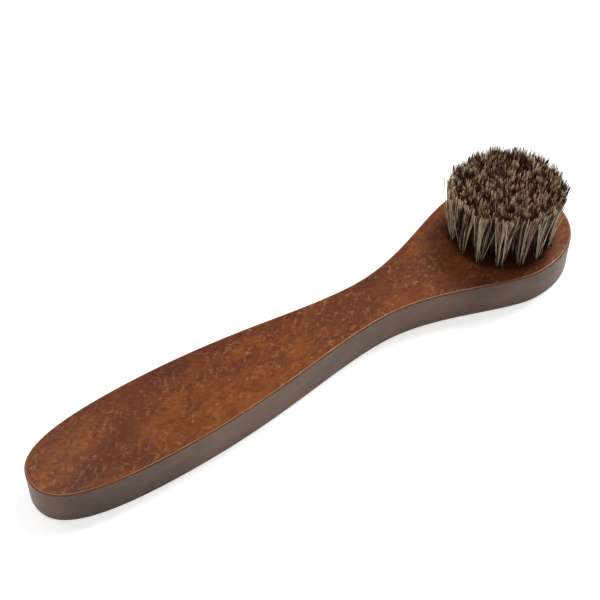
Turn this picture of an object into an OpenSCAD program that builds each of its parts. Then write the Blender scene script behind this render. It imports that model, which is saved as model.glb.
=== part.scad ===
// Shoe shine brush: a flat wooden handle with a round head of horsehair tufts.
// Lengths are in millimetres. The handle lies on its back, its length along X,
// with the hair pointing up Z, and the origin is in the middle of the back.

/* [Handle] */
// Overall length of the handle, from butt to nose
handle_length = 175; // [160:1:200]
// Thickness of the board that the handle is cut from
handle_thickness = 11; // [9.5:0.5:15]
// Radius of the eased edges round both faces
edge_radius = 0.6; // [0.4:0.1:2]

/* [Grip] */
// Width of the grip at its widest
grip_width = 27; // [22:0.5:34]
// Distance from the butt to the widest of the grip
grip_from_butt = 37.5; // [30:0.5:45]
// How square the butt's end is: the share of half the width that it runs straight across
butt_square = 0.67; // [0.4:0.01:0.8]
// How long the grip's side runs back to the butt, as a share of that stretch
grip_run_back = 0.75; // [0.4:0.01:0.85]
// How long the grip's side runs forward to the neck, as a share of that stretch
grip_run_forward = 0.46; // [0.3:0.01:0.6]

/* [Neck] */
// Width of the neck at its narrowest
neck_width = 15; // [11:0.5:20]
// Distance from the nose back to the narrowest of the neck
neck_from_nose = 70; // [62:0.5:80]
// How long the neck runs back to the grip, as a share of that stretch
neck_run_back = 0.27; // [0.15:0.01:0.5]
// How long the neck runs forward to the head, as a share of that stretch
neck_run_forward = 0.4; // [0.2:0.01:0.55]

/* [Head] */
// Width of the head at its widest
head_width = 39; // [37:0.5:48]
// Distance from the nose back to the widest of the head
head_from_nose = 23; // [20:0.5:27]
// How long the head's side runs back to the neck, as a share of that stretch
head_run_back = 0.23; // [0.1:0.01:0.4]
// How long the head's side runs forward to the nose, as a share of that stretch
head_run_forward = 0.7; // [0.5:0.01:0.8]
// How blunt the nose is: the share of half the head's width that it runs straight across
nose_blunt = 0.46; // [0.35:0.01:0.65]

/* [Holes] */
// Bare wood between the outer ring of holes and the head's widest sides
side_rim = 3.8; // [3:0.1:6]
// Bare wood between the outer ring of holes and the nose
nose_rim = 5.8; // [3:0.1:8]
// Diameter of the drilled holes
hole_diameter = 2.6; // [2.2:0.1:3.2]
// Depth of a hole's straight wall
hole_depth = 6.2; // [5:0.1:7.5]
// Angle of the drill's point
drill_point_angle = 118; // [90:1:140]

/* [Hair] */
// Length of the hair above the face at the middle of the head
bristle_length = 20; // [12:0.5:30]
// How much shorter the outer ring is trimmed than the middle tuft
crown_drop = 1.2; // [0:0.1:3]
// Height of the tapered tips at the top of a tuft
tip_length = 2; // [0.5:0.1:4]
// How far a tuft's tips draw in from its widest
tip_draw = 0.4; // [0:0.1:0.8]
// Gap between the spread ends of neighbouring tufts
tuft_gap = 0.5; // [0.1:0.05:0.9]
// Gap between the packed hair and the wall of its hole
hair_clearance = 0.05; // [0.02:0.01:0.1]

/* [Anchors] */
// Thickness of the flat wire that holds a tuft down
anchor_thickness = 0.4; // [0.2:0.05:0.6]
// Height of the flat wire
anchor_height = 1.8; // [1:0.1:2.5]
// How far each end of an anchor bites into the wall of its hole
anchor_bite = 0.45; // [0.2:0.05:0.6]
// Gap round an anchor in the wood and the hair that it is pressed into
anchor_clearance = 0.02; // [0.01:0.01:0.05]

/* [Hidden] */
TUFTS_PER_RING = 5;
RING_NAMES = ["centre", "inner", "middle", "outer"];
RINGS = len(RING_NAMES) - 1;
OUTLINE_STEPS = 16;
EDGE_STEPS = 3;
TUFT_SIDES = 20;
SKIN = 0.01;
FAN_ROOT = 0.1;
WOOD_COLOUR = "#7a4424";
HAIR_COLOUR = "#8d7e6a";
WIRE_COLOUR = "#b9a77c";

// The places that the outline passes through, on the side with positive Y
butt = [-handle_length / 2, 0];
grip = [-handle_length / 2 + grip_from_butt, grip_width / 2];
neck = [handle_length / 2 - neck_from_nose, neck_width / 2];
head = [handle_length / 2 - head_from_nose, head_width / 2];
nose = [handle_length / 2, 0];

// The stretches of the outline between them, as cubic curves of four points
side_curves = [
    [
        butt,
        butt + [0, butt_square * grip.y],
        grip - [grip_run_back * (grip.x - butt.x), 0],
        grip
    ],
    [
        grip,
        grip + [grip_run_forward * (neck.x - grip.x), 0],
        neck - [neck_run_back * (neck.x - grip.x), 0],
        neck
    ],
    [
        neck,
        neck + [neck_run_forward * (head.x - neck.x), 0],
        head - [head_run_back * (head.x - neck.x), 0],
        head
    ],
    [
        head,
        head + [head_run_forward * (nose.x - head.x), 0],
        nose + [0, nose_blunt * head.y],
        nose
    ]
];

function on_curve(c, t) =
    (1 - t) ^ 3 * c[0] + 3 * (1 - t) ^ 2 * t * c[1] + 3 * (1 - t) * t ^ 2 * c[2] + t ^ 3 * c[3];

// One side from butt to nose, then the whole outline, back along the other side
side = concat(
    [for (c = side_curves) for (i = [0 : OUTLINE_STEPS - 1]) on_curve(c, i / OUTLINE_STEPS)],
    [nose]
);
side_steps = len(side) - 1;
outline = concat(side, [for (i = [side_steps - 1 : -1 : 1]) [side[i].x, -side[i].y]]);
outline_count = len(outline);

// The direction straight out from the outline at each of its points
outward = [
    for (i = [0 : outline_count - 1])
        let (
            before = outline[(i + outline_count - 1) % outline_count],
            after = outline[(i + 1) % outline_count],
            along = (after - before) / norm(after - before)
        )
        [-along.y, along.x]
];

// Inset and height at each step of the eased edges, from the back up to the face
edge_levels = [
    for (i = [0 : EDGE_STEPS])
        let (turn = 90 * i / EDGE_STEPS)
        edge_radius * [1 - sin(turn), 1 - cos(turn)]
];
levels = concat(
    edge_levels,
    [
        for (i = [EDGE_STEPS : -1 : 0])
            [edge_levels[i][0], handle_thickness - edge_levels[i][1]]
    ]
);

// Where the holes are, how the hair sits in them and how far it spreads
hole_radius = hole_diameter / 2;
field_radius = head_width / 2 - side_rim - hole_radius;
field_x = handle_length / 2 - nose_rim - hole_radius - field_radius;
ring_pitch = field_radius / RINGS;
hole_tip = handle_thickness - hole_depth - hole_radius / tan(drill_point_angle / 2);
shank_radius = hole_radius - hair_clearance;
fold_height = hole_tip + (shank_radius + hair_clearance) / sin(drill_point_angle / 2);
mouth_radius = shank_radius - hair_clearance;
anchor_length = hole_diameter + 2 * anchor_bite;
fan_radius = (ring_pitch - tuft_gap) / 2;

function tufts_in(ring) = max(1, TUFTS_PER_RING * ring);
function tuft_angle(ring, i) = 180 + 360 * i / tufts_in(ring);
function tuft_place(ring, i) =
    [
        field_x + ring * ring_pitch * cos(tuft_angle(ring, i)),
        ring * ring_pitch * sin(tuft_angle(ring, i)),
        0
    ];
function tuft_height(ring) = bristle_length - crown_drop * (ring / RINGS) ^ 2;
// How far a tuft spreads along its ring, past the round end that fills the pitch
function fan_reach(ring) =
    ring == 0 ? 0 : let (half_step = 180 / tufts_in(ring))
        (ring * ring_pitch * sin(half_step) - ring_pitch / 2) / cos(half_step);
function tuft_name(ring, i) =
    ring == 0 ? "tuft_centre" : str("tuft_", RING_NAMES[ring], "_", i + 1);

// The board cut to its outline, with both faces' edges eased
module handle_blank() {
    rows = len(levels);
    points = [
        for (level = levels) for (i = [0 : outline_count - 1])
            let (p = outline[i] - level[0] * outward[i])
            [p.x, p.y, level[1]]
    ];
    walls = [
        for (row = [0 : rows - 2]) for (i = [0 : outline_count - 1])
            let (
                j = (i + 1) % outline_count,
                low = row * outline_count,
                high = low + outline_count
            )
            [low + i, high + i, high + j, low + j]
    ];
    // A face is a row of strips across the handle, each between opposite points
    function strip(i, low) =
        let (across = outline_count - i)
        i == 0 ? [low, low + 1, low + outline_count - 1] :
        i == side_steps - 1 ? [low + i, low + i + 1, low + i + 2] :
        [low + i, low + i + 1, low + across - 1, low + across];
    function reversed(list) = [for (i = [len(list) - 1 : -1 : 0]) list[i]];
    top_row = (rows - 1) * outline_count;
    face = [for (i = [0 : side_steps - 1]) strip(i, top_row)];
    back = [for (i = [0 : side_steps - 1]) reversed(strip(i, 0))];
    polyhedron(points, concat(walls, face, back));
}

// A blind hole with the drill's point at its bottom
module tuft_hole() {
    top = handle_thickness + edge_radius;
    rotate_extrude($fn = 48)
        polygon([
            [0, hole_tip],
            [hole_radius, handle_thickness - hole_depth],
            [hole_radius, top],
            [0, top]
        ]);
}

// Puts what belongs to one tuft at its hole, turned so that its Y points out from the middle one
module at_tuft(ring, i) {
    translate(tuft_place(ring, i))
        rotate(tuft_angle(ring, i) - 90)
            children();
}

// The flat wire across a hole, grown by a gap where its seat is cut
module anchor(gap = 0) {
    size = [anchor_thickness, anchor_length, anchor_height] + 2 * gap * [1, 1, 1];
    translate([-size.x / 2, -size.y / 2, fold_height - gap])
        cube(size);
}

module handle() {
    color(WOOD_COLOUR)
        difference() {
            handle_blank();
            for (ring = [0 : RINGS])
                for (i = [0 : tufts_in(ring) - 1])
                    at_tuft(ring, i) {
                        tuft_hole();
                        anchor(anchor_clearance);
                    }
        }
}

module wire_anchors() {
    color(WIRE_COLOUR)
        for (ring = [0 : RINGS])
            for (i = [0 : tufts_in(ring) - 1])
                at_tuft(ring, i)
                    anchor();
}

// The round end of a spread tuft, twice where it reaches along its ring
module fan_section(radius, reach, height) {
    for (side = reach > 0 ? [-1, 1] : [0])
        translate([side * reach, 0, height])
            cylinder(h = SKIN, r = radius, $fn = TUFT_SIDES);
}

// A bundle of hair doubled over its anchor in the hole, spreading above the face
module tuft(ring, i) {
    top = handle_thickness + tuft_height(ring);
    reach = fan_reach(ring);
    color(HAIR_COLOUR)
        at_tuft(ring, i)
            difference() {
                union() {
                    translate([0, 0, fold_height])
                        sphere(r = shank_radius, $fn = 48);
                    translate([0, 0, fold_height])
                        cylinder(h = handle_thickness - fold_height, r = shank_radius, $fn = 48);
                    hull() {
                        fan_section(mouth_radius, 0, handle_thickness - FAN_ROOT);
                        fan_section(fan_radius, reach, top - tip_length);
                        fan_section(fan_radius - tip_draw, reach, top - SKIN);
                    }
                }
                anchor(anchor_clearance);
            }
}

handle();
wire_anchors();
for (ring = [0 : RINGS]) for (i = [0 : tufts_in(ring) - 1])
    tuft(ring, i);
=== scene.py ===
import math
import random

import bmesh
import bpy
from bpy.props import FloatProperty, FloatVectorProperty, IntProperty, PointerProperty
from mathutils import Matrix, Vector
from mathutils.geometry import interpolate_bezier


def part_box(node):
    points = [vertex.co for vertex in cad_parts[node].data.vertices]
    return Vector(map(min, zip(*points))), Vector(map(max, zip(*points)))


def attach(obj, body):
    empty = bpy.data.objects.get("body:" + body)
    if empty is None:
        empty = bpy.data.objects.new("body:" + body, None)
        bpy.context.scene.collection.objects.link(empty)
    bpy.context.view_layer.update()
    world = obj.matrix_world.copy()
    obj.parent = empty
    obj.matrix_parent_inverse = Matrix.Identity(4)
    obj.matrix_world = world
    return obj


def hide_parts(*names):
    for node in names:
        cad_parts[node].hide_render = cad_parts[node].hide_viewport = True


bl_info = {
    "name": "Shoe Shine Brush",
    "version": (1, 0, 0),
    "blender": (4, 5, 0),
    "location": "3D View > Sidebar > Brush",
    "description": "Makes a lacquered handle, horsehair tufts and a white studio for a shoe shine brush",
    "category": "Object",
}

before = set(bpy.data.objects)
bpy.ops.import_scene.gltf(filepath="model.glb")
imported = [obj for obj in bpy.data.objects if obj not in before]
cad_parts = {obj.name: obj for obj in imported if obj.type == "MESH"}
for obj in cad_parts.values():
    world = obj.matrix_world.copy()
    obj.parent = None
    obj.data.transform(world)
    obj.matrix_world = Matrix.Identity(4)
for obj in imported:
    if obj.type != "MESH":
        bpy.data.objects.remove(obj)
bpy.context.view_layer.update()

MM = 0.001
BODY = "root"
BOARD_NODE = "handle"
WIRE_NODE = "wire_anchors"
TUFT_NODES = sorted(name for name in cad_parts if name.startswith("tuft_"))
BOARD_LOW, BOARD_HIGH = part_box(BOARD_NODE)
FACE_HEIGHT = BOARD_HIGH.z

# Each ring holds this many tufts times its own number, counted from the middle tuft outwards
TUFTS_PER_RING = 5
OUTER_RING = 3

# Points of a mesh that lie closer than this are made one
BOARD_MERGE = 0.01 * MM
DRILL_MERGE = 0.005 * MM
COVE_MERGE = 0.1 * MM

# An edge that climbs less than this is level
LEVEL_WITHIN = 0.1 * MM

# Faces of the board that meet at more than this keep a sharp edge
SHARP_ANGLE = math.radians(35)

# How far the drill stands above the face, and how many faces a hole has round it
DRILL_ABOVE = 1 * MM
DRILL_STEPS = 28

# The painted shade on the face between the tufts fades away over this width round them
PAINTED_SHADE_FADE = 4 * MM

# How far a point of the even spread is turned at random, in radians
SPREAD_JOG = 0.25

# The way that the trim falls, towards the far side and the grip
FALL_WAY = Vector((-1.0, 1.0, 0.0)).normalized()

# A hair's thickness on its way up from the mouth of the hole, as pairs of shares: height, thickness
TAPER = ((0.0, 1.0), (0.3, 1.0), (0.55, 1.0), (0.8, 0.9), (0.93, 0.75), (1.0, 0.35))

# The fold in the hole: beside the wire a hair is this share of the wire's depth down. Under the wire
# it draws in to these shares of its place, and lies lower by one hair for each step further out.
BESIDE_WIRE = 0.7
UNDER_ACROSS = 0.5
UNDER_ALONG = 0.8
FIRST_LAYER = 0.6
LAYER_STEP = 1 * MM

# Half of a tuft's strands, in random order, are richer in pale locks by the first of these factors,
# and the other half are poorer by the second
RICH_STRAND = 1.8
POOR_STRAND = 0.35

# Tones run from 0, black, to 1, pale. A hair's own tone strays a little from that of its lock.
PALE_TONES = (0.7, 1.0)
DARK_TONES = (0.0, 0.35)
TONE_SPREAD = 0.08

# The floor glows evenly out to the first distance and is fully white from the second on, in metres
NEAR_FLOOR = 0.4
FAR_FLOOR = 1.2

# Faces of the cove up its sweep, and all the way round
SWEEP_STEPS = 12
COVE_STEPS = 96

# The colour sockets of a Mix node share their names with others, so they are told by number
MIX_SHARE = 0
MIX_UNDER = 6
MIX_OVER = 7
MIX_COLOUR = 2


def linear(hex_colour):
    """An sRGB colour written as six hex digits, as linear red, green and blue."""
    channels = [int(hex_colour[i : i + 2], 16) / 255 for i in (0, 2, 4)]
    return tuple(c / 12.92 if c <= 0.04045 else ((c + 0.055) / 1.055) ** 2.4 for c in channels)


def length(name, description, default, **limits):
    return FloatProperty(
        name=name, description=description, default=default, unit="LENGTH", precision=5, **limits
    )


def share(name, description, default):
    return FloatProperty(name=name, description=description, default=default, min=0.0, max=1.0)


def colour(name, description, hex_colour):
    return FloatVectorProperty(
        name=name, description=description, default=linear(hex_colour), subtype="COLOR", min=0.0, max=1.0
    )


class BrushBoardSettings(bpy.types.PropertyGroup):
    """The handle's outline and edges"""

    edge_radius: length("Edge radius", "Radius of the eased edges round both faces", 0.6 * MM)
    edge_steps: IntProperty(name="Edge steps", description="Faces across an eased edge", default=5, min=1)
    curve_steps: IntProperty(
        name="Curve steps", description="Points along each stretch of the outline", default=40, min=4
    )
    grip_width: length("Grip width", "Width of the grip at its widest", 27.0 * MM)
    grip_from_butt: length("Grip from butt", "Distance from the butt to the widest of the grip", 37.5 * MM)
    neck_width: length("Neck width", "Width of the neck at its narrowest", 15.0 * MM)
    neck_from_nose: length(
        "Neck from nose", "Distance from the nose to the narrowest of the neck", 70.0 * MM
    )
    head_from_nose: length("Head from nose", "Distance from the nose to the widest of the head", 23.0 * MM)
    butt_square: share("Butt square", "Share of half the grip's width that the butt runs straight", 0.67)
    grip_run_back: share("Grip run back", "How long the grip's side runs back to the butt", 0.75)
    grip_run_forward: share("Grip run forward", "How long the grip's side runs to the neck", 0.46)
    neck_run_back: share("Neck run back", "How long the neck runs back to the grip", 0.27)
    neck_run_forward: share("Neck run forward", "How long the neck runs forward to the head", 0.4)
    head_run_back: share("Head run back", "How long the head's side runs back to the neck", 0.23)
    head_run_forward: share("Head run forward", "How long the head's side runs to the nose", 0.7)
    nose_blunt: share("Nose blunt", "Share of half the head's width that the nose runs straight", 0.46)


class BrushHairSettings(bpy.types.PropertyGroup):
    """The holes and the hair that stands in them"""

    hole_diameter: length("Hole diameter", "Diameter of the drilled holes", 2.6 * MM)
    hole_depth: length("Hole depth", "Depth of a hole's straight wall", 6.2 * MM)
    drill_angle: FloatProperty(
        name="Drill point", description="Angle of the drill's point",
        default=math.radians(118), subtype="ANGLE",
    )
    pitch: length("Ring pitch", "Distance from one ring of tufts to the next", 4.8 * MM)
    wire_thickness: length("Wire thickness", "Thickness of the flat wire across each hole", 0.4 * MM)
    wire_bite: length("Wire bite", "How far the wire's ends are driven into the wood", 0.45 * MM)
    locks_per_tuft: IntProperty(
        name="Locks per tuft", description="Bunches of hair in a tuft, each doubled under the wire",
        default=78, min=1,
    )
    hairs_per_lock: IntProperty(name="Hairs per lock", description="Hairs in a bunch", default=3, min=1)
    sheaves_per_leg: IntProperty(
        name="Sheaves per half", description="Strands that each half of a tuft parts into",
        default=6, min=1,
    )
    sheaf_draw: share("Sheaf draw", "How far the hairs of a strand are drawn together at the mouth", 0.78)
    pale_share: share("Pale share", "Rough share of the locks that are pale", 0.31)
    hair_diameter: length("Hair diameter", "Thickness of one hair", 0.15 * MM)
    leg_gap: length("Leg gap", "Gap at the mouth between a tuft's two halves", 0.5 * MM)
    leg_width: length("Leg width", "Width of each half of a tuft at the mouth", 0.95 * MM)
    crown_fill: FloatProperty(
        name="Crown fill", description="How far a tuft spreads at the top, as a share of its room",
        default=1.15,
    )
    lock_draw: share("Lock draw", "How far the hairs of a lock meet at their tips", 0.5)
    lock_lean: length("Lock lean", "How far the tip of a lock leans out of line", 0.9 * MM)
    stray_share: share("Stray share", "Share of the locks that lean far out of line", 0.12)
    stray_lean: length("Stray lean", "How far such a lock leans", 2.2 * MM)
    used_lean: length("Used lean", "How far use has bent the tips towards the nose", 0.5 * MM)
    loose_share: share("Loose share", "Share of single hairs that leave their lock", 0.07)
    tip_scatter: length("Tip scatter", "How far a hair's tip strays from its lock", 0.12 * MM)
    trim_fall: length(
        "Trim fall", "How much lower the trim is on the far side towards the grip", 1.6 * MM
    )
    trim_scatter: length("Trim scatter", "How much shorter than the trim a lock may be", 2.0 * MM)
    hair_scatter: length("Hair scatter", "Roughly how much shorter a hair is than its lock", 0.6 * MM)
    seed: IntProperty(
        name="Seed", description="Changes which hairs are pale and how they stray", default=4
    )


class BrushFinishSettings(bpy.types.PropertyGroup):
    """Colours of the wood, the hair and the wire"""

    wood_dark: colour("Dark stain", "Where the stain has soaked in deep", "5a2e20")
    wood_mid: colour("Mid stain", "Most of the face", "784020")
    wood_light: colour("Light stain", "Where the stain is thin", "884b22")
    # Partly real ray flecks, partly painted glints: the pale stands in for light caught by the raised grain
    wood_fleck_and_glint: colour("Pale fleck", "The short pale marks of the rays", "a8744c")
    wood_pore: colour("Pore", "The pores and the short dark marks of the rays", "4c2410")
    # Painted shade: the dark brown laid over the face between the tufts stands in for the shade among the
    # hair
    wood_painted_shade: colour("Old polish", "Brown polish that has soaked in between the tufts", "3a190b")
    # Side stain with a painted reflection: the grey stands in for the white floor seen in the lacquer of
    # the sides
    wood_side_and_sheen: colour("Side stain", "The sawn sides, greyed by handling", "736155")
    # Partly wear, partly a painted highlight: the pale line stands in for light caught on the eased edge
    wood_rubbed_highlight: colour("Rubbed edge", "The rim of the face, where the stain is rubbed thin", "bd8862")
    # Painted shade: the dark line stands in for the shade where the eased edge turns away from the light
    wood_rim_shade: colour("Dark rim", "The stain and polish that gather just below it", "3f2b20")
    hair_black: colour("Black hair", "The darkest horsehair", "150c06")
    hair_brown: colour("Brown hair", "Dark brown horsehair", "382215")
    hair_taupe: colour("Taupe hair", "Grey-brown horsehair", "8c664a")
    hair_pale: colour("Pale hair", "The palest horsehair", "f5d9b6")
    hair_polish: colour("Polished tips", "Brown polish on the tips", "27140b")
    wire_steel: colour("Wire", "Tinned steel wire of the anchors", "b9b4a8")


class BrushStageSettings(bpy.types.PropertyGroup):
    """The camera, the lamps and the floor"""

    camera_place: FloatVectorProperty(
        name="Camera place", description="Where the camera stands",
        default=(-140.53 * MM, -189.46 * MM, 274.73 * MM), unit="LENGTH", precision=5,
    )
    camera_azimuth: FloatProperty(
        name="Camera azimuth", description="Turn of the camera about the vertical",
        default=math.radians(-35.435), subtype="ANGLE",
    )
    camera_elevation: FloatProperty(
        name="Camera elevation", description="Height of the camera above the horizon",
        default=math.radians(46.973), subtype="ANGLE",
    )
    lens: FloatProperty(name="Lens", description="Focal length on a 36 mm sensor", default=78.0)
    cove_radius: length("Cove radius", "Distance to the cove's upright wall", 3.0)
    cove_sweep: length("Cove sweep", "Radius of the curve between the floor and the wall", 0.8)
    cove_height: length("Cove height", "Height of the wall", 1.4)
    floor_drop: length(
        "Floor drop", "How far the floor lies below the back, so that they never coincide", 0.05 * MM
    )
    floor_white: colour("Floor", "The pale floor", "ececec")
    floor_glow: FloatProperty(
        name="Floor glow", description="Light that only the camera and reflections see", default=0.585
    )
    room_light: FloatProperty(
        name="Room light", description="Light of the room above the cove", default=0.34
    )


def add_node(tree, kind, sockets=None, stops=None, **settings):
    """Adds a node with its settings, and fills its sockets, by name or number, with values or links."""
    node = tree.nodes.new(kind)
    for name, value in settings.items():
        setattr(node, name, value)
    if stops:
        ramp = node.color_ramp
        while len(ramp.elements) < len(stops):
            ramp.elements.new(1.0)
        for element, (place, rgb) in zip(ramp.elements, stops):
            element.position = place
            element.color = (*rgb, 1.0)
    for key, value in (sockets or {}).items():
        if isinstance(value, bpy.types.NodeSocket):
            tree.links.new(value, node.inputs[key])
        else:
            node.inputs[key].default_value = value
    return node


def new_material(name):
    """An empty node material with its output, ready for a shader."""
    material = bpy.data.materials.new(name)
    material.use_nodes = True
    material.node_tree.nodes.clear()
    output = material.node_tree.nodes.new("ShaderNodeOutputMaterial")
    return material, material.node_tree, output


def per(size):
    """The scale of a texture whose pattern repeats about once in this length."""
    return 1.0 / size


def stained_beech(finish, tuft_centre, field_radius):
    """Beech, walnut-stained and lacquered: mottled brown, full of short slanted marks, satin shine."""
    material, tree, output = new_material("stained_beech_lacquered")
    place = add_node(tree, "ShaderNodeTexCoord").outputs["Object"]

    # How level the surface lies: 1 on the face and the back, 0 on the sides
    normal = add_node(tree, "ShaderNodeNewGeometry").outputs["Normal"]
    upright = add_node(tree, "ShaderNodeSeparateXYZ", {"Vector": normal}).outputs["Z"]
    level = add_node(tree, "ShaderNodeMath", {0: upright}, operation="ABSOLUTE").outputs[0]

    # Stain takes unevenly, in soft clouds about 16 mm across that are drawn out along the grain
    cloud_place = add_node(
        tree, "ShaderNodeMapping",
        {"Vector": place, "Scale": (0.6, 1.0, 1.0), "Location": (0.013, 0.4, 0.2)},
    ).outputs[0]
    clouds = add_node(
        tree, "ShaderNodeTexNoise",
        {"Vector": cloud_place, "Scale": per(16 * MM), "Detail": 3.0, "Roughness": 0.5, "Distortion": 0.4},
    ).outputs[0]
    base = add_node(
        tree, "ShaderNodeValToRGB", {"Fac": clouds},
        stops=[(0.30, finish.wood_dark), (0.50, finish.wood_mid), (0.66, finish.wood_light)],
    ).outputs["Color"]

    # Mottle of 3 to 4 mm inside the clouds
    mottle = add_node(
        tree, "ShaderNodeTexNoise",
        {"Vector": cloud_place, "Scale": per(3.5 * MM), "Detail": 2.0, "Roughness": 0.6, "Distortion": 0.8},
    ).outputs[0]
    mottle_depth = add_node(
        tree, "ShaderNodeMapRange",
        {"Value": mottle, "From Min": 0.40, "From Max": 0.66, "To Min": 0.0, "To Max": 0.65},
    ).outputs[0]
    base = add_node(
        tree, "ShaderNodeMix",
        {MIX_SHARE: mottle_depth, MIX_UNDER: base, MIX_OVER: (*finish.wood_dark, 1.0)}, data_type="RGBA",
    ).outputs[MIX_COLOUR]

    # Ray marks: soft short strokes about 0.5 mm wide and 1 mm long that lie across each other on the slant,
    # pale ones and dark ones. The pale ones are partly real ray flecks and partly painted glints, light
    # caught by the raised grain painted into the colour. Each set is the peaks of a noise that is stretched
    # along its slant and moved away from the others. They lie thicker in some patches than in others.
    patches = add_node(
        tree, "ShaderNodeTexNoise", {"Vector": cloud_place, "Scale": per(6 * MM), "Detail": 1.0}
    ).outputs[0]
    thick = add_node(
        tree, "ShaderNodeMapRange", {"Value": patches, "From Min": 0.35, "From Max": 0.6, "To Min": 0.25}
    ).outputs[0]
    for slant, stretch, tone, strength in (
        (38, 2.4, finish.wood_fleck_and_glint, 0.55), (-44, 1.8, finish.wood_fleck_and_glint, 0.48),
        (22, 2.2, finish.wood_pore, 0.55), (-30, 1.6, finish.wood_pore, 0.45),
    ):
        laid = add_node(
            tree, "ShaderNodeMapping",
            {
                "Vector": place, "Location": (slant * MM, strength, 0.0),
                "Rotation": (0.0, 0.0, math.radians(slant)), "Scale": (stretch, 1.0, 1.0),
            },
            vector_type="TEXTURE",
        ).outputs[0]
        peaks = add_node(
            tree, "ShaderNodeTexNoise",
            {"Vector": laid, "Scale": per(1.0 * MM), "Detail": 1.0, "Distortion": 0.3},
        ).outputs[0]
        mark = add_node(
            tree, "ShaderNodeMapRange",
            {"Value": peaks, "From Min": 0.52, "From Max": 0.8, "To Min": 0.0, "To Max": strength},
            interpolation_type="SMOOTHSTEP",
        ).outputs[0]
        mark = add_node(tree, "ShaderNodeMath", {0: mark, 1: thick}, operation="MULTIPLY").outputs[0]
        base = add_node(
            tree, "ShaderNodeMix",
            {MIX_SHARE: mark, MIX_UNDER: base, MIX_OVER: (*tone, 1.0)}, data_type="RGBA",
        ).outputs[MIX_COLOUR]

    # Pores: a sparse scatter of dots about 0.5 mm across, dark or pale
    pores = add_node(
        tree, "ShaderNodeTexVoronoi", {"Vector": cloud_place, "Scale": per(2.2 * MM), "Randomness": 1.0}
    )
    pore_mark = add_node(
        tree, "ShaderNodeMapRange",
        {
            "Value": pores.outputs["Distance"],
            "From Min": 0.08, "From Max": 0.16, "To Min": 0.7, "To Max": 0.0,
        },
    ).outputs[0]
    pore_kind = add_node(tree, "ShaderNodeSeparateColor", {0: pores.outputs["Color"]}).outputs[0]
    pore_tone = add_node(
        tree, "ShaderNodeValToRGB", {"Fac": pore_kind},
        stops=[(0.55, finish.wood_pore), (0.6, finish.wood_fleck_and_glint)],
    ).outputs["Color"]
    base = add_node(
        tree, "ShaderNodeMix",
        {MIX_SHARE: pore_mark, MIX_UNDER: base, MIX_OVER: pore_tone}, data_type="RGBA",
    ).outputs[MIX_COLOUR]

    # Painted shade: the wood between the tufts is darkened where shade falls among the hair, and this fades
    # away round them
    from_tufts = add_node(
        tree, "ShaderNodeVectorMath", {0: place, 1: tuft_centre}, operation="DISTANCE"
    ).outputs["Value"]
    polish = add_node(
        tree, "ShaderNodeMapRange",
        {
            "Value": from_tufts, "From Min": field_radius, "From Max": field_radius + PAINTED_SHADE_FADE,
            "To Min": 0.85, "To Max": 0.0,
        },
        interpolation_type="SMOOTHSTEP",
    ).outputs[0]
    base = add_node(
        tree, "ShaderNodeMix",
        {MIX_SHARE: polish, MIX_UNDER: base, MIX_OVER: (*finish.wood_painted_shade, 1.0)}, data_type="RGBA",
    ).outputs[MIX_COLOUR]

    # The sawn sides are painted greyer and lighter, partly their own stain and partly a painted reflection
    # of the white floor in their lacquer, and smudged
    side = add_node(
        tree, "ShaderNodeMapRange",
        {"Value": level, "From Min": 0.15, "From Max": 0.55, "To Min": 0.85, "To Max": 0.0},
    ).outputs[0]
    smudges = add_node(
        tree, "ShaderNodeMapRange",
        {"Value": clouds, "From Min": 0.35, "From Max": 0.65, "To Min": 0.6, "To Max": 1.25},
    ).outputs[0]
    side_sheen_tone = add_node(
        tree, "ShaderNodeVectorMath", {0: finish.wood_side_and_sheen, "Scale": smudges}, operation="SCALE"
    ).outputs[0]
    base = add_node(
        tree, "ShaderNodeMix",
        {MIX_SHARE: side, MIX_UNDER: base, MIX_OVER: side_sheen_tone}, data_type="RGBA",
    ).outputs[MIX_COLOUR]

    # The rim of the face is painted pale, partly stain rubbed thin and partly a painted highlight on the
    # eased edge, above a dark line of painted shade where the edge turns away from the light. Both come and
    # go as the mottle does. Their places go by how level the eased edge lies.
    rim_patches = add_node(
        tree, "ShaderNodeMapRange", {"Value": mottle, "From Min": 0.35, "From Max": 0.6, "To Min": 0.35}
    ).outputs[0]
    for tone, stops in (
        (finish.wood_rim_shade, [(0.2, 0.0), (0.5, 0.55), (0.76, 0.55), (0.86, 0.0)]),
        (finish.wood_rubbed_highlight, [(0.78, 0.0), (0.9, 0.7), (0.98, 0.7), (0.999, 0.0)]),
    ):
        band = add_node(
            tree, "ShaderNodeValToRGB", {"Fac": level}, stops=[(at, (grey,) * 3) for at, grey in stops]
        ).outputs["Color"]
        band = add_node(tree, "ShaderNodeMath", {0: band, 1: rim_patches}, operation="MULTIPLY").outputs[0]
        base = add_node(
            tree, "ShaderNodeMix",
            {MIX_SHARE: band, MIX_UNDER: base, MIX_OVER: (*tone, 1.0)}, data_type="RGBA",
        ).outputs[MIX_COLOUR]

    # The lacquer lies over the waves that sanding left and over grain that the stain has raised, which
    # follows the last set of strokes
    waves = add_node(
        tree, "ShaderNodeTexNoise", {"Vector": cloud_place, "Scale": per(9 * MM), "Detail": 1.0}
    ).outputs[0]
    wave_bump = add_node(
        tree, "ShaderNodeBump", {"Strength": 0.5, "Distance": 0.10 * MM, "Height": waves}
    ).outputs[0]
    grain_bump = add_node(
        tree, "ShaderNodeBump",
        {"Strength": 0.5, "Distance": 0.04 * MM, "Height": peaks, "Normal": wave_bump},
    ).outputs[0]
    shader = add_node(
        tree, "ShaderNodeBsdfPrincipled",
        {
            "Base Color": base, "Roughness": 0.6, "Specular IOR Level": 0.0, "Normal": grain_bump,
            "Coat Weight": 0.4, "Coat Roughness": 0.22, "Coat IOR": 1.5, "Coat Normal": grain_bump,
        },
    )
    tree.links.new(shader.outputs[0], output.inputs["Surface"])
    return material


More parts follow.
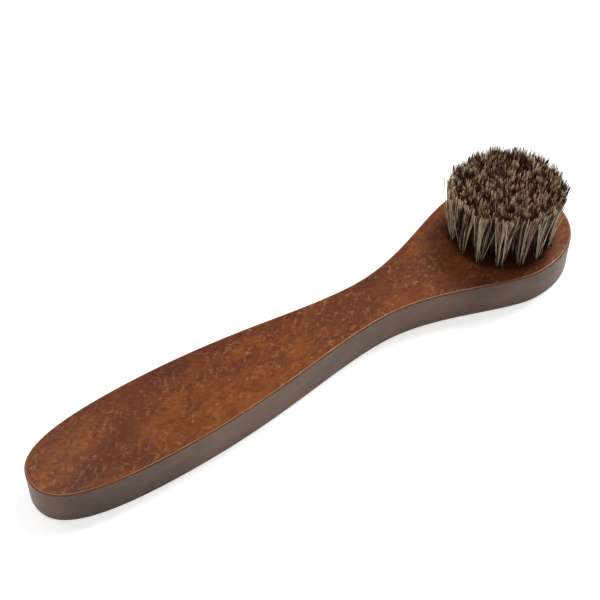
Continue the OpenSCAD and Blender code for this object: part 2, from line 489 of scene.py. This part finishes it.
def horsehair(finish):
    """Natural horsehair, undyed: black to pale taupe from hair to hair, with a dull shine."""
    material, tree, output = new_material("horsehair_natural_mix")
    tone = add_node(tree, "ShaderNodeAttribute", attribute_name="hair_tone").outputs["Fac"]
    base = add_node(
        tree, "ShaderNodeValToRGB", {"Fac": tone},
        stops=[
            (0.08, finish.hair_black), (0.4, finish.hair_brown),
            (0.68, finish.hair_taupe), (0.95, finish.hair_pale),
        ],
    ).outputs["Color"]

    # Every few millimetres a hair comes nearer to plain brown
    place = add_node(tree, "ShaderNodeTexCoord").outputs["Object"]
    drift = add_node(
        tree, "ShaderNodeTexNoise", {"Vector": place, "Scale": per(2.5 * MM), "Detail": 2.0}
    ).outputs[0]
    drift_depth = add_node(
        tree, "ShaderNodeMapRange",
        {"Value": drift, "From Min": 0.45, "From Max": 0.75, "To Min": 0.0, "To Max": 0.35},
    ).outputs[0]
    base = add_node(
        tree, "ShaderNodeMix",
        {MIX_SHARE: drift_depth, MIX_UNDER: base, MIX_OVER: (*finish.hair_brown, 1.0)}, data_type="RGBA",
    ).outputs[MIX_COLOUR]

    # Towards the tip a hair carries more and more brown polish, which hardly shows on the palest ones
    part = add_node(tree, "ShaderNodeAttribute", attribute_name="hair_part").outputs["Fac"]
    polish = add_node(
        tree, "ShaderNodeMapRange",
        {"Value": part, "From Min": 0.6, "From Max": 0.95, "To Min": 0.0, "To Max": 0.75},
    ).outputs[0]
    takes = add_node(
        tree, "ShaderNodeMapRange",
        {"Value": tone, "From Min": 0.3, "From Max": 0.8, "To Min": 1.0, "To Max": 0.1},
    ).outputs[0]
    polish = add_node(tree, "ShaderNodeMath", {0: polish, 1: takes}, operation="MULTIPLY").outputs[0]
    base = add_node(
        tree, "ShaderNodeMix",
        {MIX_SHARE: polish, MIX_UNDER: base, MIX_OVER: (*finish.hair_polish, 1.0)}, data_type="RGBA",
    ).outputs[MIX_COLOUR]
    shader = add_node(
        tree, "ShaderNodeBsdfPrincipled",
        {
            "Base Color": base, "Roughness": 0.45, "Specular IOR Level": 0.2, "Subsurface Weight": 0.6,
            "Subsurface Radius": (1.0, 0.8, 0.6), "Subsurface Scale": 0.3 * MM,
        },
    )
    tree.links.new(shader.outputs[0], output.inputs["Surface"])
    return material


def tinned_wire(finish):
    """Flat tinned steel wire, drawn and cut: dull silver with fine marks."""
    material, tree, output = new_material("tinned_steel_wire")
    place = add_node(tree, "ShaderNodeTexCoord").outputs["Object"]
    drawn = add_node(
        tree, "ShaderNodeMapping", {"Vector": place, "Scale": (1.0, 0.05, 1.0)}
    ).outputs[0]
    marks = add_node(
        tree, "ShaderNodeTexNoise", {"Vector": drawn, "Scale": per(0.1 * MM), "Detail": 3.0}
    ).outputs[0]
    roughness = add_node(
        tree, "ShaderNodeMapRange",
        {"Value": marks, "From Min": 0.3, "From Max": 0.7, "To Min": 0.3, "To Max": 0.5},
    ).outputs[0]
    shader = add_node(
        tree, "ShaderNodeBsdfPrincipled",
        {"Base Color": (*finish.wire_steel, 1.0), "Metallic": 1.0, "Roughness": roughness},
    )
    tree.links.new(shader.outputs[0], output.inputs["Surface"])
    return material


def white_floor(stage):
    """Matt white card: it keeps the shadow, and glows a little for the camera and for reflections."""
    material, tree, output = new_material("white_card")
    card = add_node(tree, "ShaderNodeBsdfDiffuse", {"Color": (*stage.floor_white, 1.0)}).outputs[0]
    rays = add_node(tree, "ShaderNodeLightPath")
    seen = add_node(
        tree, "ShaderNodeMath",
        {0: rays.outputs["Is Camera Ray"], 1: rays.outputs["Is Glossy Ray"]}, operation="MAXIMUM",
    ).outputs[0]
    seen = add_node(
        tree, "ShaderNodeMath", {0: seen, 1: rays.outputs["Is Transmission Ray"]}, operation="MAXIMUM"
    ).outputs[0]
    place = add_node(tree, "ShaderNodeTexCoord").outputs["Object"]
    away = add_node(tree, "ShaderNodeVectorMath", {0: place}, operation="LENGTH").outputs["Value"]
    glow_here = add_node(
        tree, "ShaderNodeMapRange",
        {
            "Value": away, "From Min": NEAR_FLOOR, "From Max": FAR_FLOOR,
            "To Min": stage.floor_glow, "To Max": 1.0,
        },
    ).outputs[0]
    strength = add_node(tree, "ShaderNodeMath", {0: seen, 1: glow_here}, operation="MULTIPLY").outputs[0]
    glow = add_node(tree, "ShaderNodeEmission", {"Strength": strength}).outputs[0]
    both = add_node(tree, "ShaderNodeAddShader", {0: card, 1: glow}).outputs[0]
    tree.links.new(both, output.inputs["Surface"])
    return material


def show_mesh(name, mesh):
    """Puts a mesh in the scene as an object at the origin."""
    piece = bpy.data.objects.new(name, mesh)
    bpy.context.scene.collection.objects.link(piece)
    return piece


def finished_mesh(piece):
    """The piece's mesh with its modifiers applied, or a curve's as a mesh."""
    graph = bpy.context.evaluated_depsgraph_get()
    return bpy.data.meshes.new_from_object(piece.evaluated_get(graph), depsgraph=graph)


def fit_piece(piece, node):
    """Makes a piece stand for a node of the model and ride where it rides."""
    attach(piece, BODY)
    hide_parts(node)


def tuft_places():
    """Where each tuft's hole is, read from the node's own box, which is centred on it."""
    places = {}
    for name in TUFT_NODES:
        low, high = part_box(name)
        middle = (low + high) / 2
        places[name] = (Vector((middle.x, middle.y, FACE_HEIGHT)), high.z - FACE_HEIGHT)
    return places


def outline_side(shape):
    """One side of the outline, from butt to nose, as points along four smooth stretches."""
    butt, nose = BOARD_LOW.x, BOARD_HIGH.x
    grip_x = butt + shape.grip_from_butt
    neck_x = nose - shape.neck_from_nose
    head_x = nose - shape.head_from_nose
    grip_y, neck_y, head_y = shape.grip_width / 2, shape.neck_width / 2, BOARD_HIGH.y
    stretches = [
        (
            (butt, 0), (butt, shape.butt_square * grip_y),
            (grip_x - shape.grip_run_back * (grip_x - butt), grip_y), (grip_x, grip_y),
        ),
        (
            (grip_x, grip_y), (grip_x + shape.grip_run_forward * (neck_x - grip_x), grip_y),
            (neck_x - shape.neck_run_back * (neck_x - grip_x), neck_y), (neck_x, neck_y),
        ),
        (
            (neck_x, neck_y), (neck_x + shape.neck_run_forward * (head_x - neck_x), neck_y),
            (head_x - shape.head_run_back * (head_x - neck_x), head_y), (head_x, head_y),
        ),
        (
            (head_x, head_y), (head_x + shape.head_run_forward * (nose - head_x), head_y),
            (nose, shape.nose_blunt * head_y), (nose, 0),
        ),
    ]
    points = []
    for stretch in stretches:
        run = interpolate_bezier(*(Vector((x, y, 0)) for x, y in stretch), shape.curve_steps + 1)
        points += run[:-1]
    return points + [Vector((nose, 0, 0))]


def board_mesh(shape):
    """The board: its outline filled, drawn up to its thickness, and its edges eased."""
    bm = bmesh.new()
    verts = [bm.verts.new(point) for point in outline_side(shape)]
    edges = [bm.edges.new(pair) for pair in zip(verts, verts[1:])]
    bmesh.ops.mirror(
        bm, geom=verts + edges, matrix=Matrix.Identity(4), merge_dist=BOARD_MERGE, axis="Y"
    )
    bmesh.ops.remove_doubles(bm, verts=bm.verts, dist=BOARD_MERGE)
    back = bmesh.ops.contextual_create(bm, geom=bm.edges[:])["faces"]
    risen = bmesh.ops.extrude_face_region(bm, geom=back, use_keep_orig=True)["geom"]
    top = [part for part in risen if isinstance(part, bmesh.types.BMVert)]
    bmesh.ops.translate(bm, verts=top, vec=(0, 0, FACE_HEIGHT))
    bmesh.ops.recalc_face_normals(bm, faces=bm.faces)
    rims = [
        edge for edge in bm.edges if abs(edge.verts[0].co.z - edge.verts[1].co.z) < LEVEL_WITHIN
    ]
    bmesh.ops.bevel(
        bm, geom=rims, offset=shape.edge_radius, offset_type="OFFSET", affect="EDGES",
        segments=shape.edge_steps, profile=0.5, material=-1, clamp_overlap=True,
    )
    mesh = bpy.data.meshes.new("handle_board")
    bm.to_mesh(mesh)
    bm.free()
    return mesh


def outward_turn(place, centre):
    """The turn about the vertical that points Y out from the middle tuft."""
    outward = place.xy - centre.xy
    turn = math.atan2(outward.y, outward.x) if outward.length > MM else math.pi
    return Matrix.Rotation(turn - math.pi / 2, 4, "Z")


def drill_mesh(hair, places):
    """All that is cut from the board: each hole, with the drill's point, and the seat of its wire."""
    radius = hair.hole_diameter / 2
    point = radius / math.tan(hair.drill_angle / 2)
    wire_low, wire_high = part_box(WIRE_NODE)
    seat_size = (hair.wire_thickness, hair.hole_diameter + 2 * hair.wire_bite, wire_high.z - wire_low.z)
    seat_height = (wire_low.z + wire_high.z) / 2 - FACE_HEIGHT
    centre = places["tuft_centre"][0]
    bm = bmesh.new()
    for place, _ in places.values():
        profile = [
            (0, -hair.hole_depth - point), (radius, -hair.hole_depth),
            (radius, DRILL_ABOVE), (0, DRILL_ABOVE),
        ]
        verts = [bm.verts.new(place + Vector((out, 0, up))) for out, up in profile]
        edges = [bm.edges.new(pair) for pair in zip(verts, verts[1:])]
        bmesh.ops.spin(
            bm, geom=verts + edges, cent=place, axis=(0, 0, 1), angle=2 * math.pi,
            steps=DRILL_STEPS, use_merge=True,
        )
        bmesh.ops.create_cube(
            bm, size=1.0,
            matrix=Matrix.Translation(place + Vector((0, 0, seat_height)))
            @ outward_turn(place, centre)
            @ Matrix.Diagonal((*seat_size, 1.0)),
        )
    bmesh.ops.remove_doubles(bm, verts=bm.verts, dist=DRILL_MERGE)
    bmesh.ops.recalc_face_normals(bm, faces=bm.faces)
    mesh = bpy.data.meshes.new("drill")
    bm.to_mesh(mesh)
    bm.free()
    return mesh


class BRUSH_OT_make_board(bpy.types.Operator):
    """Cut the board to its outline, ease its edges, drill it and lacquer it"""

    bl_idname = "brush.make_board"
    bl_label = "Handle board"
    bl_options = {"REGISTER", "UNDO"}

    def execute(self, context):
        scene = context.scene
        places = tuft_places()
        centre = places["tuft_centre"][0]
        field_radius = max((place - centre).length for place, _ in places.values())
        board = show_mesh("handle_board", board_mesh(scene.brush_board))
        drill = show_mesh("drill", drill_mesh(scene.brush_hair, places))
        cut = board.modifiers.new("holes", "BOOLEAN")
        cut.operation = "DIFFERENCE"
        cut.object = drill
        cut.solver = "EXACT"
        cut.use_self = True
        mesh = finished_mesh(board)
        board.modifiers.clear()
        board.data = mesh
        bpy.data.objects.remove(drill)
        mesh.shade_smooth()
        mesh.set_sharp_from_angle(angle=SHARP_ANGLE)
        weighted = board.modifiers.new("even_shading", "WEIGHTED_NORMAL")
        weighted.keep_sharp = True
        mesh.materials.clear()
        mesh.materials.append(stained_beech(scene.brush_finish, centre, field_radius))
        fit_piece(board, BOARD_NODE)
        return {"FINISHED"}


def half_disc_points(count, rng):
    """Points spread evenly over the half of a disc of radius 1 on the side of X, jogged a little."""
    golden = math.pi * (3 - math.sqrt(5))
    points = []
    step = 0
    # About every other point of the spiral falls in this half, so it is laid out for twice as many
    while len(points) < count:
        reach = math.sqrt((step + 0.5) / (2 * count + 2))
        turn = step * golden + rng.uniform(-SPREAD_JOG, SPREAD_JOG)
        if math.cos(turn) > 0:
            points.append(Vector((reach * math.cos(turn), reach * math.sin(turn))))
        step += 1
    return points


def nearest(points, spot):
    """The number of the point that lies nearest to a spot."""
    return min(range(len(points)), key=lambda each: (points[each] - spot).length)


class TuftShape:
    """Where the hairs of one tuft go, from the wire in the hole to their tips."""

    def __init__(self, hair, place, height, centre, rng):
        self.hair = hair
        down_fall = (place - centre).dot(FALL_WAY)
        self.height = height - hair.trim_fall * max(down_fall, 0.0) / (OUTER_RING * hair.pitch)
        self.rng = rng
        self.frame = Matrix.Translation(place) @ outward_turn(place, centre)
        self.nose_way = (outward_turn(place, centre).inverted() @ Vector((1.0, 0.0, 0.0))).xy
        on_ring = (place - centre).length > MM
        self.reach_out = hair.crown_fill * hair.pitch / 2
        self.reach_round = self.reach_out
        if on_ring:
            self.reach_round = hair.crown_fill * hair.pitch * math.pi / TUFTS_PER_RING
        self.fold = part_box(WIRE_NODE)[0].z - FACE_HEIGHT

    def mouth(self, spot, side):
        """Where a spot of a tuft's half stands in the mouth of the hole."""
        hair = self.hair
        across = hair.leg_gap / 2 + spot.x * hair.leg_width
        room = math.sqrt(max((hair.hole_diameter / 2) ** 2 - across ** 2, 0.0)) - hair.hair_diameter / 2
        return Vector((side * across, spot.y * room))

    def crown(self, spot, side):
        """Where the same spot comes to at the top, where the tuft fills its share of the crown."""
        return Vector((side * spot.x * self.reach_round, spot.y * self.reach_out))

    def lock_end(self, spot, side):
        """One end of a bunch of hair: where its tips meet, and how much shorter it is than the trim."""
        hair, rng = self.hair, self.rng
        turn = rng.uniform(0, 2 * math.pi)
        if rng.random() < hair.stray_share:
            lean = hair.stray_lean
        else:
            lean = hair.lock_lean * math.sqrt(rng.random())
        tip = self.crown(spot, side) + Vector((math.cos(turn), math.sin(turn))) * lean
        return tip, hair.trim_scatter * rng.random() ** 2

    def leg(self, spot, sheaf, side, end):
        """One half of a doubled hair: points from the fold to the tip, each with its thickness.

        A hair leans from its own place towards where its lock's tips meet. The hairs of a strand stand
        close at the mouth and spread towards the top, and use bends the tips most.
        """
        hair, rng = self.hair, self.rng
        mouth, hub = self.mouth(spot, side), self.mouth(sheaf, side)
        goal, strand_top = self.crown(spot, side), self.crown(sheaf, side)
        lock_tip, short = end
        wander = hair.stray_lean / 2 if rng.random() < hair.loose_share else hair.tip_scatter
        stray = Vector((rng.gauss(0, 1), rng.gauss(0, 1))) * wander
        top = self.height - short - abs(rng.gauss(0, 1)) * hair.hair_scatter
        points = []
        for part, thickness in TAPER:
            own = mouth.lerp(goal.lerp(lock_tip, hair.lock_draw * part ** 0.5), part)
            flat = own.lerp(hub.lerp(strand_top, part), hair.sheaf_draw * (1 - part ** 2))
            flat += stray * part + self.nose_way * hair.used_lean * part ** 3
            points.append((Vector((flat.x, flat.y, top * part)), thickness, part))
        root = points[0][0]
        beside_wire = Vector((root.x, root.y, self.fold * BESIDE_WIRE))
        below = hair.hair_diameter * (FIRST_LAYER + abs(root.x) / LAYER_STEP)
        under_wire = Vector((root.x * UNDER_ACROSS, root.y * UNDER_ALONG, self.fold - below))
        return [(under_wire, 1.0, 0.0), (beside_wire, 1.0, 0.0)] + points

    def strands(self):
        """Every hair: up to one tip from under the wire and up to the other, with its lock's tone."""
        hair, rng = self.hair, self.rng
        locks = half_disc_points(hair.locks_per_tuft, rng)
        sheaves = half_disc_points(hair.sheaves_per_leg, rng)
        shares = [
            hair.pale_share * (RICH_STRAND if each % 2 else POOR_STRAND)
            for each in range(len(sheaves))
        ]
        rng.shuffle(shares)
        sheaf_of = [nearest(sheaves, lock) for lock in locks]
        ends = {side: [self.lock_end(lock, side) for lock in locks] for side in (1, -1)}
        tones = [
            rng.uniform(*PALE_TONES) if rng.random() < shares[sheaf] else rng.uniform(*DARK_TONES)
            for sheaf in sheaf_of
        ]
        for spot in half_disc_points(hair.locks_per_tuft * hair.hairs_per_lock, rng):
            lock = nearest(locks, spot)
            sheaf = sheaves[sheaf_of[lock]]
            one, other = (self.leg(spot, sheaf, side, ends[side][lock]) for side in (1, -1))
            path = [(self.frame @ point, size, part) for point, size, part in one[::-1] + other]
            yield path, min(max(tones[lock] + rng.gauss(0, TONE_SPREAD), 0.0), 1.0)


def tuft_curve(name, hair, strands):
    """The hairs as one curve of many splines, each a tube with four sides."""
    curve = bpy.data.curves.new(name, "CURVE")
    curve.dimensions = "3D"
    curve.bevel_depth = hair.hair_diameter / 2
    curve.bevel_resolution = 0
    for strand in strands:
        spline = curve.splines.new("POLY")
        spline.points.add(len(strand) - 1)
        spline.points.foreach_set("co", [value for point, _, _ in strand for value in (*point, 1.0)])
        spline.points.foreach_set("radius", [size for _, size, _ in strand])
    return curve


def close_ends(mesh):
    """Fills the open ends of a mesh of tubes, which have fewer than eight sides."""
    bm = bmesh.new()
    bm.from_mesh(mesh)
    bmesh.ops.holes_fill(bm, edges=[edge for edge in bm.edges if edge.is_boundary], sides=8)
    bm.to_mesh(mesh)
    bm.free()


class BRUSH_OT_make_tufts(bpy.types.Operator):
    """Set a tuft of doubled horsehair in every hole"""

    bl_idname = "brush.make_tufts"
    bl_label = "Horsehair tufts"
    bl_options = {"REGISTER", "UNDO"}

    def execute(self, context):
        hair = context.scene.brush_hair
        material = horsehair(context.scene.brush_finish)
        places = tuft_places()
        centre = places["tuft_centre"][0]
        for name, (place, height) in places.items():
            shape = TuftShape(hair, place, height, centre, random.Random(f"{name} {hair.seed}"))
            strands, tones = zip(*shape.strands())
            holder = bpy.data.objects.new("hair_curve", tuft_curve("hair_curve", hair, strands))
            context.scene.collection.objects.link(holder)
            mesh = finished_mesh(holder)
            bpy.data.objects.remove(holder)
            mesh.name = f"hair_{name}"
            round_count = len(mesh.vertices) // sum(len(strand) for strand in strands)
            tone = mesh.attributes.new("hair_tone", "FLOAT", "POINT")
            part = mesh.attributes.new("hair_part", "FLOAT", "POINT")
            tone.data.foreach_set(
                "value",
                [own for own, strand in zip(tones, strands) for _ in range(round_count * len(strand))],
            )
            part.data.foreach_set(
                "value", [up for strand in strands for _, _, up in strand for _ in range(round_count)]
            )
            close_ends(mesh)
            mesh.materials.clear()
            mesh.materials.append(material)
            mesh.shade_smooth()
            fit_piece(show_mesh(f"hair_{name}", mesh), name)
        return {"FINISHED"}


class BRUSH_OT_finish_wire(bpy.types.Operator):
    """Give the anchors in the holes their tinned steel"""

    bl_idname = "brush.finish_wire"
    bl_label = "Anchor wire"
    bl_options = {"REGISTER", "UNDO"}

    def execute(self, context):
        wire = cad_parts[WIRE_NODE]
        wire.data.materials.clear()
        wire.data.materials.append(tinned_wire(context.scene.brush_finish))
        return {"FINISHED"}


def cove_mesh(stage):
    """A round cove: a floor that sweeps up into a wall on every side."""
    radius, sweep = stage.cove_radius, stage.cove_sweep
    bm = bmesh.new()
    flat = [bm.verts.new((x, 0, 0)) for x in (0.0, NEAR_FLOOR, radius - sweep)]
    for pair in zip(flat, flat[1:]):
        bm.edges.new(pair)
    bmesh.ops.spin(
        bm, geom=flat[-1:], cent=(radius - sweep, 0, sweep), axis=(0, -1, 0), angle=math.pi / 2,
        steps=SWEEP_STEPS,
    )
    rim = max(bm.verts, key=lambda vert: vert.co.z)
    wall = bmesh.ops.extrude_vert_indiv(bm, verts=[rim])["verts"]
    bmesh.ops.translate(bm, verts=wall, vec=(0, 0, stage.cove_height - sweep))
    bmesh.ops.spin(
        bm, geom=bm.verts[:] + bm.edges[:], cent=(0, 0, 0), axis=(0, 0, 1),
        angle=2 * math.pi, steps=COVE_STEPS, use_merge=True,
    )
    bmesh.ops.remove_doubles(bm, verts=bm.verts, dist=COVE_MERGE)
    bmesh.ops.translate(bm, verts=bm.verts, vec=(0, 0, -stage.floor_drop))
    bmesh.ops.recalc_face_normals(bm, faces=bm.faces)
    if min(bm.faces, key=lambda face: face.calc_center_median().length).normal.z < 0:
        bmesh.ops.reverse_faces(bm, faces=bm.faces)
    mesh = bpy.data.meshes.new("floor")
    bm.to_mesh(mesh)
    bm.free()
    return mesh


def softbox(name, azimuth, elevation, distance, size, power):
    """A square softbox that faces the brush: direction in degrees, distance and size in metres, watts."""
    around, up = math.radians(azimuth), math.radians(elevation)
    direction = Vector((math.cos(around) * math.cos(up), math.sin(around) * math.cos(up), math.sin(up)))
    place = direction * distance
    lamp = bpy.data.lights.new(name, "AREA")
    lamp.shape = "SQUARE"
    lamp.size = size
    lamp.energy = power
    holder = bpy.data.objects.new(name, lamp)
    holder.location = place
    holder.rotation_euler = place.to_track_quat("Z", "Y").to_euler()
    bpy.context.scene.collection.objects.link(holder)


class BRUSH_OT_make_stage(bpy.types.Operator):
    """Stand the camera, the lamps and the white floor round the brush"""

    bl_idname = "brush.make_stage"
    bl_label = "White studio"
    bl_options = {"REGISTER", "UNDO"}

    def execute(self, context):
        scene = context.scene
        stage = scene.brush_stage
        scene.view_settings.view_transform = "Standard"

        lens = bpy.data.cameras.new("camera")
        lens.lens = stage.lens
        lens.sensor_width = 36.0
        lens.clip_start = 0.01
        camera = bpy.data.objects.new("camera", lens)
        camera.location = stage.camera_place
        camera.rotation_euler = (math.pi / 2 - stage.camera_elevation, 0.0, stage.camera_azimuth)
        scene.collection.objects.link(camera)
        scene.camera = camera

        mesh = cove_mesh(stage)
        mesh.materials.append(white_floor(stage))
        mesh.shade_smooth()
        floor = show_mesh("floor", mesh)

        softbox("key_softbox", azimuth=16, elevation=54, distance=1.24, size=0.42, power=10.5)
        softbox("back_softbox", azimuth=105, elevation=52, distance=1.4, size=0.9, power=3.0)
        softbox("fill_softbox", azimuth=215, elevation=22, distance=1.4, size=0.9, power=3.0)

        world = bpy.data.worlds.new("white_room")
        scene.world = world
        world.use_nodes = True
        tree = world.node_tree
        tree.nodes.clear()
        sky = add_node(
            tree, "ShaderNodeBackground", {"Color": (1, 1, 1, 1), "Strength": stage.room_light}
        ).outputs[0]
        add_node(tree, "ShaderNodeOutputWorld", {"Surface": sky})
        return {"FINISHED"}


class BRUSH_PT_pieces(bpy.types.Panel):
    """Lists the makers of the brush's pieces"""

    bl_idname = "BRUSH_PT_pieces"
    bl_label = "Shoe Shine Brush"
    bl_space_type = "VIEW_3D"
    bl_region_type = "UI"
    bl_category = "Brush"

    def draw(self, context):
        for operator in MAKERS:
            self.layout.operator(operator.bl_idname)
        for name in SETTINGS:
            group = getattr(context.scene, name)
            box = self.layout.box()
            for key in group.bl_rna.properties.keys():
                if key not in ("rna_type", "name"):
                    box.prop(group, key)


SETTINGS = {
    "brush_board": BrushBoardSettings,
    "brush_hair": BrushHairSettings,
    "brush_finish": BrushFinishSettings,
    "brush_stage": BrushStageSettings,
}
MAKERS = (BRUSH_OT_make_board, BRUSH_OT_make_tufts, BRUSH_OT_finish_wire, BRUSH_OT_make_stage)


def register():
    for group in (*SETTINGS.values(), *MAKERS, BRUSH_PT_pieces):
        bpy.utils.register_class(group)
    for name, group in SETTINGS.items():
        setattr(bpy.types.Scene, name, PointerProperty(type=group))


def unregister():
    for name in SETTINGS:
        delattr(bpy.types.Scene, name)
    for group in reversed((*SETTINGS.values(), *MAKERS, BRUSH_PT_pieces)):
        bpy.utils.unregister_class(group)


def main():
    register()
    bpy.ops.brush.make_board()
    bpy.ops.brush.make_tufts()
    bpy.ops.brush.finish_wire()
    bpy.ops.brush.make_stage()


if __name__ == "__main__":
    main()
